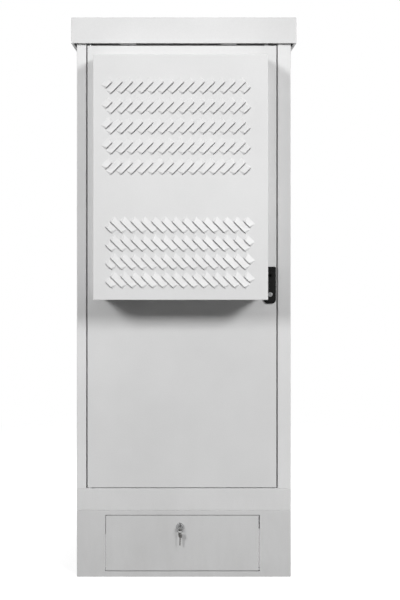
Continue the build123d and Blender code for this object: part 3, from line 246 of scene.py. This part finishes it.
def fleece(name, level):
    """Filter fleece: matted fibres with soft pits and grey dust."""
    pile = 0.0015
    dark, light, dusty = level - 30, level + 8, level - 60
    g = Graph(name)
    fibres = g.noise(420.0, 6.0, 0.75, (1.0, 1.0, 1.6))
    tufts = g.cells(130.0).outputs["Distance"]
    dust = g.noise(9.0, 5.0, 0.65)
    colour = g.mix(g.remap(fibres, 0.35, 0.7), grey(dark), grey(light))
    soiled = g.math("MULTIPLY", g.remap(dust, 0.45, 0.75), 0.5)
    colour = g.mix(soiled, colour, grey(dusty, (1.03, 1.0, 0.95)))
    height = g.math("ADD", fibres, g.math("MULTIPLY", tufts, 0.8))
    normal = g.bump(height, pile, 0.9)
    roughness = g.remap(fibres, 0.3, 0.7, 0.86, 0.98)
    return g.shader(Base_Color=colour, Roughness=roughness, Normal=normal, Sheen_Weight=0.25)


# One finish per material slot of the record; the sides and the plinth take lighter and darker copies of
# the paint, as painted light and painted shade
PAINT = powder_coat("paint_light_grey", 214, 0.35)
# The hood: the cabinet paint made lighter, painted light for a hood standing nearer the lamps
HOOD_PAINT_PAINTED_LIGHT = powder_coat("paint_hood_painted_light", 219, 0.0, 4)
# The sides: the cabinet paint made lighter, painted light
SIDE_PAINT_PAINTED_LIGHT = powder_coat("paint_sides_painted_light", 220, 0.0)
# The plinth: the cabinet paint made darker, painted shade
PLINTH_PAINT_PAINTED_SHADE = powder_coat("paint_plinth_painted_shade", 204, 0.20)
BRUSHED_ALONG_X, BRUSHED_ACROSS_X = (1.0, 8.0, 8.0), (6.0, 1.0, 1.0)
NODE_FINISH = {
    "left_side": SIDE_PAINT_PAINTED_LIGHT,
    "right_side": SIDE_PAINT_PAINTED_LIGHT,
    "plinth": PLINTH_PAINT_PAINTED_SHADE,
    "plinth_panel": PLINTH_PAINT_PAINTED_SHADE,
}
FINISHES = {
    "steel_paint": PAINT,
    "hood_paint": HOOD_PAINT_PAINTED_LIGHT,
    "zinc": plated("zinc_plate", 176, (0.99, 1.0, 1.02), 0.34, 700.0),
    "galvanised": spangle("zinc_spangle", 176),
    "chrome_metal": plated("chrome", 138, (0.99, 1.0, 1.01), 0.16, 500.0, wear=30, patch=30.0),
    "key_metal": plated("nickel_silver", 104, (1.0, 0.98, 0.94), 0.30, 900.0, BRUSHED_ACROSS_X, 26, 40.0),
    "brass_bush": plated("brass", 178, (1.0, 0.83, 0.50), 0.32, 650.0),
    "copper_bar": plated("copper", 176, (1.0, 0.62, 0.44), 0.30, 500.0, BRUSHED_ALONG_X),
    "black_rubber": moulded("rubber", 34, rough=0.72, grain=500.0, depth=0.00008, gloss=0.3),
    "black_plastic": moulded("plastic_black", 30, rough=0.48),
    "black_handle": moulded("handle_black", 8, WHITE, 0.46, 1400.0, 0.00002, 0.12, 26),
    "filter_fleece": fleece("fleece", 205),
    "red_insulator": moulded("insulator_red", 120, (1.9, 0.22, 0.16), rough=0.40),
}
for name, node in nodes.items():
    for index, material in enumerate(node.data.materials):
        node.data.materials[index] = NODE_FINISH.get(name, FINISHES[material.name.split(".")[0]])


# Keys: in a key's own plane u runs from the middle of the bow to the blade's tip, and v across it

KEY_CENTRE = (-0.012, -0.316, 0.1635)
SPARE_HOLE = (-0.012, -0.3215, 0.14734)
SPARE_YAW = 36
BOW, BOW_RIM = 0.009, 0.0013
HOLE_AT, HOLE, HOLE_RIM = -0.0055, 0.002, 0.0011
BLADE_HALF, NECK_HALF = 0.003, 0.0026
NECK, SHOULDER, STOP, TIP = 0.0098, 0.0104, 0.0138, 0.033
CUT_FLAT = 0.0004
CUTS = ((0.0157, 0.0020), (0.0189, 0.0014), (0.0221, 0.0023), (0.0253, 0.0010), (0.0285, 0.0019))
BOW_ARC = (27.0, 333.0)
UPPER_RIB = ((0.0086, 0.0014), (0.0310, 0.0014), (0.0302, 0.0029), (0.0086, 0.0029))
STOP_PAD = ((0.0086, -0.0029), (0.0136, -0.0029), (0.0136, 0.0004), (0.0086, 0.0004))
LOWER_RIB = ((0.0136, -0.0007), (0.0316, -0.0005), (0.0310, 0.0004), (0.0136, 0.0004))
SHARED_CORNER = 0.00005
MERGE = 0.000002
SMOOTH_BELOW = 0.0000006


def arc(centre, radius, count, start=0.0, end=360.0):
    """Points on an arc about (centre, 0); a full circle's last point is left out."""
    steps = count if end - start >= 360.0 else count - 1
    angles = [math.radians(start + (end - start) * i / steps) for i in range(count)]
    return [(centre + radius * math.cos(a), radius * math.sin(a)) for a in angles]


def plate(loops, thickness, edge):
    """A mesh of a flat plate with eased edges, from an outline and its holes."""
    curve = bpy.data.curves.new("plate", "CURVE")
    curve.dimensions = "2D"
    curve.fill_mode = "BOTH"
    curve.extrude = thickness / 2 - edge
    curve.bevel_depth = edge
    curve.bevel_resolution = 2
    curve.offset = -edge
    for loop in loops:
        spline = curve.splines.new("POLY")
        spline.points.add(len(loop) - 1)
        spline.use_cyclic_u = True
        for point, (u, v) in zip(spline.points, loop):
            point.co = (u, v, 0.0, 1.0)
    holder = bpy.data.objects.new("plate", curve)
    bpy.context.scene.collection.objects.link(holder)
    graph = bpy.context.evaluated_depsgraph_get()
    mesh = bpy.data.meshes.new_from_object(holder.evaluated_get(graph))
    bpy.data.objects.remove(holder)
    bpy.data.curves.remove(curve)
    return mesh


def key_outline():
    """Round bow, straight back, and a cut edge on the other side of the blade."""
    edge = [(NECK, -NECK_HALF), (SHOULDER, -BLADE_HALF), (STOP, -BLADE_HALF)]
    for place, depth in CUTS:
        floor = depth - BLADE_HALF
        edge += [(place - depth - CUT_FLAT, -BLADE_HALF), (place - CUT_FLAT, floor)]
        edge += [(place + CUT_FLAT, floor), (place + depth + CUT_FLAT, -BLADE_HALF)]
    # Where two cuts run into each other, the corner that lies behind the one before it is left out
    edge = edge[:1] + [b for a, b in zip(edge, edge[1:]) if b[0] > a[0] + SHARED_CORNER]
    tip = [(TIP - 0.0012, -0.0012), (TIP, 0.0002), (TIP, 0.0012), (TIP - 0.0018, BLADE_HALF)]
    back = [(SHOULDER, BLADE_HALF), (NECK, NECK_HALF)]
    return arc(0.0, BOW, 44, *BOW_ARC) + edge + tip + back


def key_mesh():
    """The blank, the raised rims of the bow and its hole, and the ribs beside the milled groove."""
    hole = arc(HOLE_AT, HOLE, 24)
    layers = [
        plate([key_outline(), hole], 0.0013, 0.00012),
        plate([arc(0.0, BOW, 64), arc(0.0, BOW - BOW_RIM, 64)], 0.0020, 0.00022),
        plate([arc(HOLE_AT, HOLE + HOLE_RIM, 32), hole], 0.0018, 0.00015),
        plate([UPPER_RIB], 0.0020, 0.00018),
        plate([STOP_PAD], 0.0020, 0.00018),
        plate([LOWER_RIB], 0.0017, 0.00018),
    ]
    joined = bmesh.new()
    for layer in layers:
        joined.from_mesh(layer)
        bpy.data.meshes.remove(layer)
    mesh = bpy.data.meshes.new("key")
    bmesh.ops.remove_doubles(joined, verts=joined.verts, dist=MERGE)
    joined.to_mesh(mesh)
    joined.free()
    for face in mesh.polygons:
        face.use_smooth = face.area < SMOOTH_BELOW
    mesh.materials.clear()
    mesh.materials.append(FINISHES["key_metal"])
    return mesh


def place_key(name, node, body, matrix):
    """A detailed key in place of the node's plain blank, on the same body."""
    key = bpy.data.objects.new(name, key_mesh())
    bpy.context.scene.collection.objects.link(key)
    key.matrix_world = matrix
    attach(key, body)
    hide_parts(node)


# In the lock the blade points back; the spare hangs from the ring, turned a little to the side
blade_back = Matrix(((0, 0, 1, 0), (1, 0, 0, 0), (0, 1, 0, 0), (0, 0, 0, 1)))
place_key("key_in_lock", "key", "lock_plug", Matrix.Translation(KEY_CENTRE) @ blade_back)
hanging = Matrix(((0, 0, 1, 0), (0, 1, 0, 0), (-1, 0, 0, HOLE_AT), (0, 0, 0, 1)))
turned = Matrix.Translation(SPARE_HOLE) @ Matrix.Rotation(math.radians(SPARE_YAW), 4, "Z")
place_key("key_spare", "spare_key", "spare_key", turned @ hanging)


# Floor, light and camera

FLOOR_RADIUS = 40.0
FADE_FROM, FADE_TO = 0.9, 2.4
FLOOR_BOUNCE = (0.13, 0.13, 0.13)
FLOOR_PAPER = (0.94, 0.94, 0.94)
FLOOR_LIFT = 0.42
SOFT_LIGHT = 0.11
FRONT_TARGET = (0.0, -0.3, 1.05)
# Name, place, target, width, height and power in watts
LAMPS = (
    ("softbox_left", (-2.6, -5.1, 2.85), FRONT_TARGET, 1.2, 1.05, 152),
    ("softbox_right", (2.78, -4.95, 2.85), FRONT_TARGET, 1.2, 1.05, 173),
    ("side_left", (-3.3, -0.5, 2.0), (0.0, 0.0, 1.0), 1.2, 1.6, 24),
    ("side_right", (3.3, -0.5, 2.0), (0.0, 0.0, 1.0), 1.2, 1.6, 30),
    ("overhead", (0.0, 0.4, 3.8), (0.0, 0.1, 1.3), 2.0, 1.6, 12),
    ("behind", (0.0, 3.2, 2.5), (0.0, 0.2, 1.0), 2.4, 1.6, 56),
)
LENS, SENSOR = 64.2, 36.0
SHIFT_X, SHIFT_Y = 0.027, -0.142
CAMERA_PLACE = (0.0, -3.80, 1.184)


def seen_directly(tree):
    """1 for the camera's rays and for those that it sees in a reflection or through glass, else 0."""
    path = tree.nodes.new("ShaderNodeLightPath")
    seen = path.outputs["Is Camera Ray"]
    for kind in ("Is Glossy Ray", "Is Transmission Ray"):
        either = tree.nodes.new("ShaderNodeMath")
        either.operation = "MAXIMUM"
        tree.links.new(seen, either.inputs[0])
        tree.links.new(path.outputs[kind], either.inputs[1])
        seen = either.outputs[0]
    return seen


def stage_floor():
    """A pale round floor that fades to white away from the object."""
    mesh = bpy.data.meshes.new("floor")
    shape = bmesh.new()
    bmesh.ops.create_circle(shape, cap_ends=True, segments=96, radius=FLOOR_RADIUS)
    shape.to_mesh(mesh)
    shape.free()
    floor = bpy.data.objects.new("floor", mesh)
    bpy.context.scene.collection.objects.link(floor)
    g = Graph("floor_pale")
    length = g.add("ShaderNodeVectorMath", operation="LENGTH")
    g.link(g.coords, length.inputs[0])
    far = g.remap(length.outputs["Value"], FADE_FROM, FADE_TO)
    far.node.interpolation_type = "SMOOTHSTEP"
    seen = seen_directly(g.tree)
    paper = g.add("ShaderNodeBsdfDiffuse")
    g.link(g.mix(seen, FLOOR_BOUNCE, FLOOR_PAPER), paper.inputs["Color"])
    lift = g.add("ShaderNodeEmission")
    g.link(g.math("MULTIPLY", seen, FLOOR_LIFT), lift.inputs["Strength"])
    lit = g.add("ShaderNodeAddShader")
    g.link(paper.outputs[0], lit.inputs[0])
    g.link(lift.outputs[0], lit.inputs[1])
    white = g.add("ShaderNodeEmission")
    white.inputs["Strength"].default_value = 1.0
    both = g.add("ShaderNodeMixShader")
    g.link(g.math("MULTIPLY", far, seen), both.inputs["Fac"])
    g.link(lit.outputs[0], both.inputs[1])
    g.link(white.outputs[0], both.inputs[2])
    g.link(both.outputs[0], g.out.inputs["Surface"])
    mesh.materials.append(g.material)


def stage_world():
    """Soft grey light all round; the camera and the glossy rays see white."""
    world = bpy.data.worlds.new("studio")
    bpy.context.scene.world = world
    world.use_nodes = True
    tree = world.node_tree
    tree.nodes.clear()
    out = tree.nodes.new("ShaderNodeOutputWorld")
    both = tree.nodes.new("ShaderNodeMixShader")
    tree.links.new(seen_directly(tree), both.inputs["Fac"])
    for socket, strength in ((1, SOFT_LIGHT), (2, 1.0)):
        backdrop = tree.nodes.new("ShaderNodeBackground")
        backdrop.inputs["Color"].default_value = (*WHITE, 1.0)
        backdrop.inputs["Strength"].default_value = strength
        tree.links.new(backdrop.outputs[0], both.inputs[socket])
    tree.links.new(both.outputs[0], out.inputs["Surface"])


def area_light(name, place, target, width, height, power):
    """A rectangular lamp turned towards its target."""
    data = bpy.data.lights.new(name, "AREA")
    data.shape = "RECTANGLE"
    data.size = width
    data.size_y = height
    data.energy = power
    lamp = bpy.data.objects.new(name, data)
    lamp.location = place
    lamp.rotation_mode = "QUATERNION"
    lamp.rotation_quaternion = (Vector(target) - Vector(place)).to_track_quat("-Z", "Y")
    bpy.context.scene.collection.objects.link(lamp)


def stage_camera():
    """Level, straight from the front, with the shift that puts the object where the photo has it."""
    data = bpy.data.cameras.new("camera")
    data.lens, data.sensor_width = LENS, SENSOR
    data.shift_x, data.shift_y = SHIFT_X, SHIFT_Y
    data.clip_start, data.clip_end = 0.05, 100.0
    camera = bpy.data.objects.new("camera", data)
    camera.location = CAMERA_PLACE
    camera.rotation_euler = (math.radians(90), 0.0, 0.0)
    bpy.context.scene.collection.objects.link(camera)
    bpy.context.scene.camera = camera


stage_floor()
stage_world()
for lamp in LAMPS:
    area_light(*lamp)
stage_camera()
bpy.context.scene.view_settings.view_transform = "Standard"
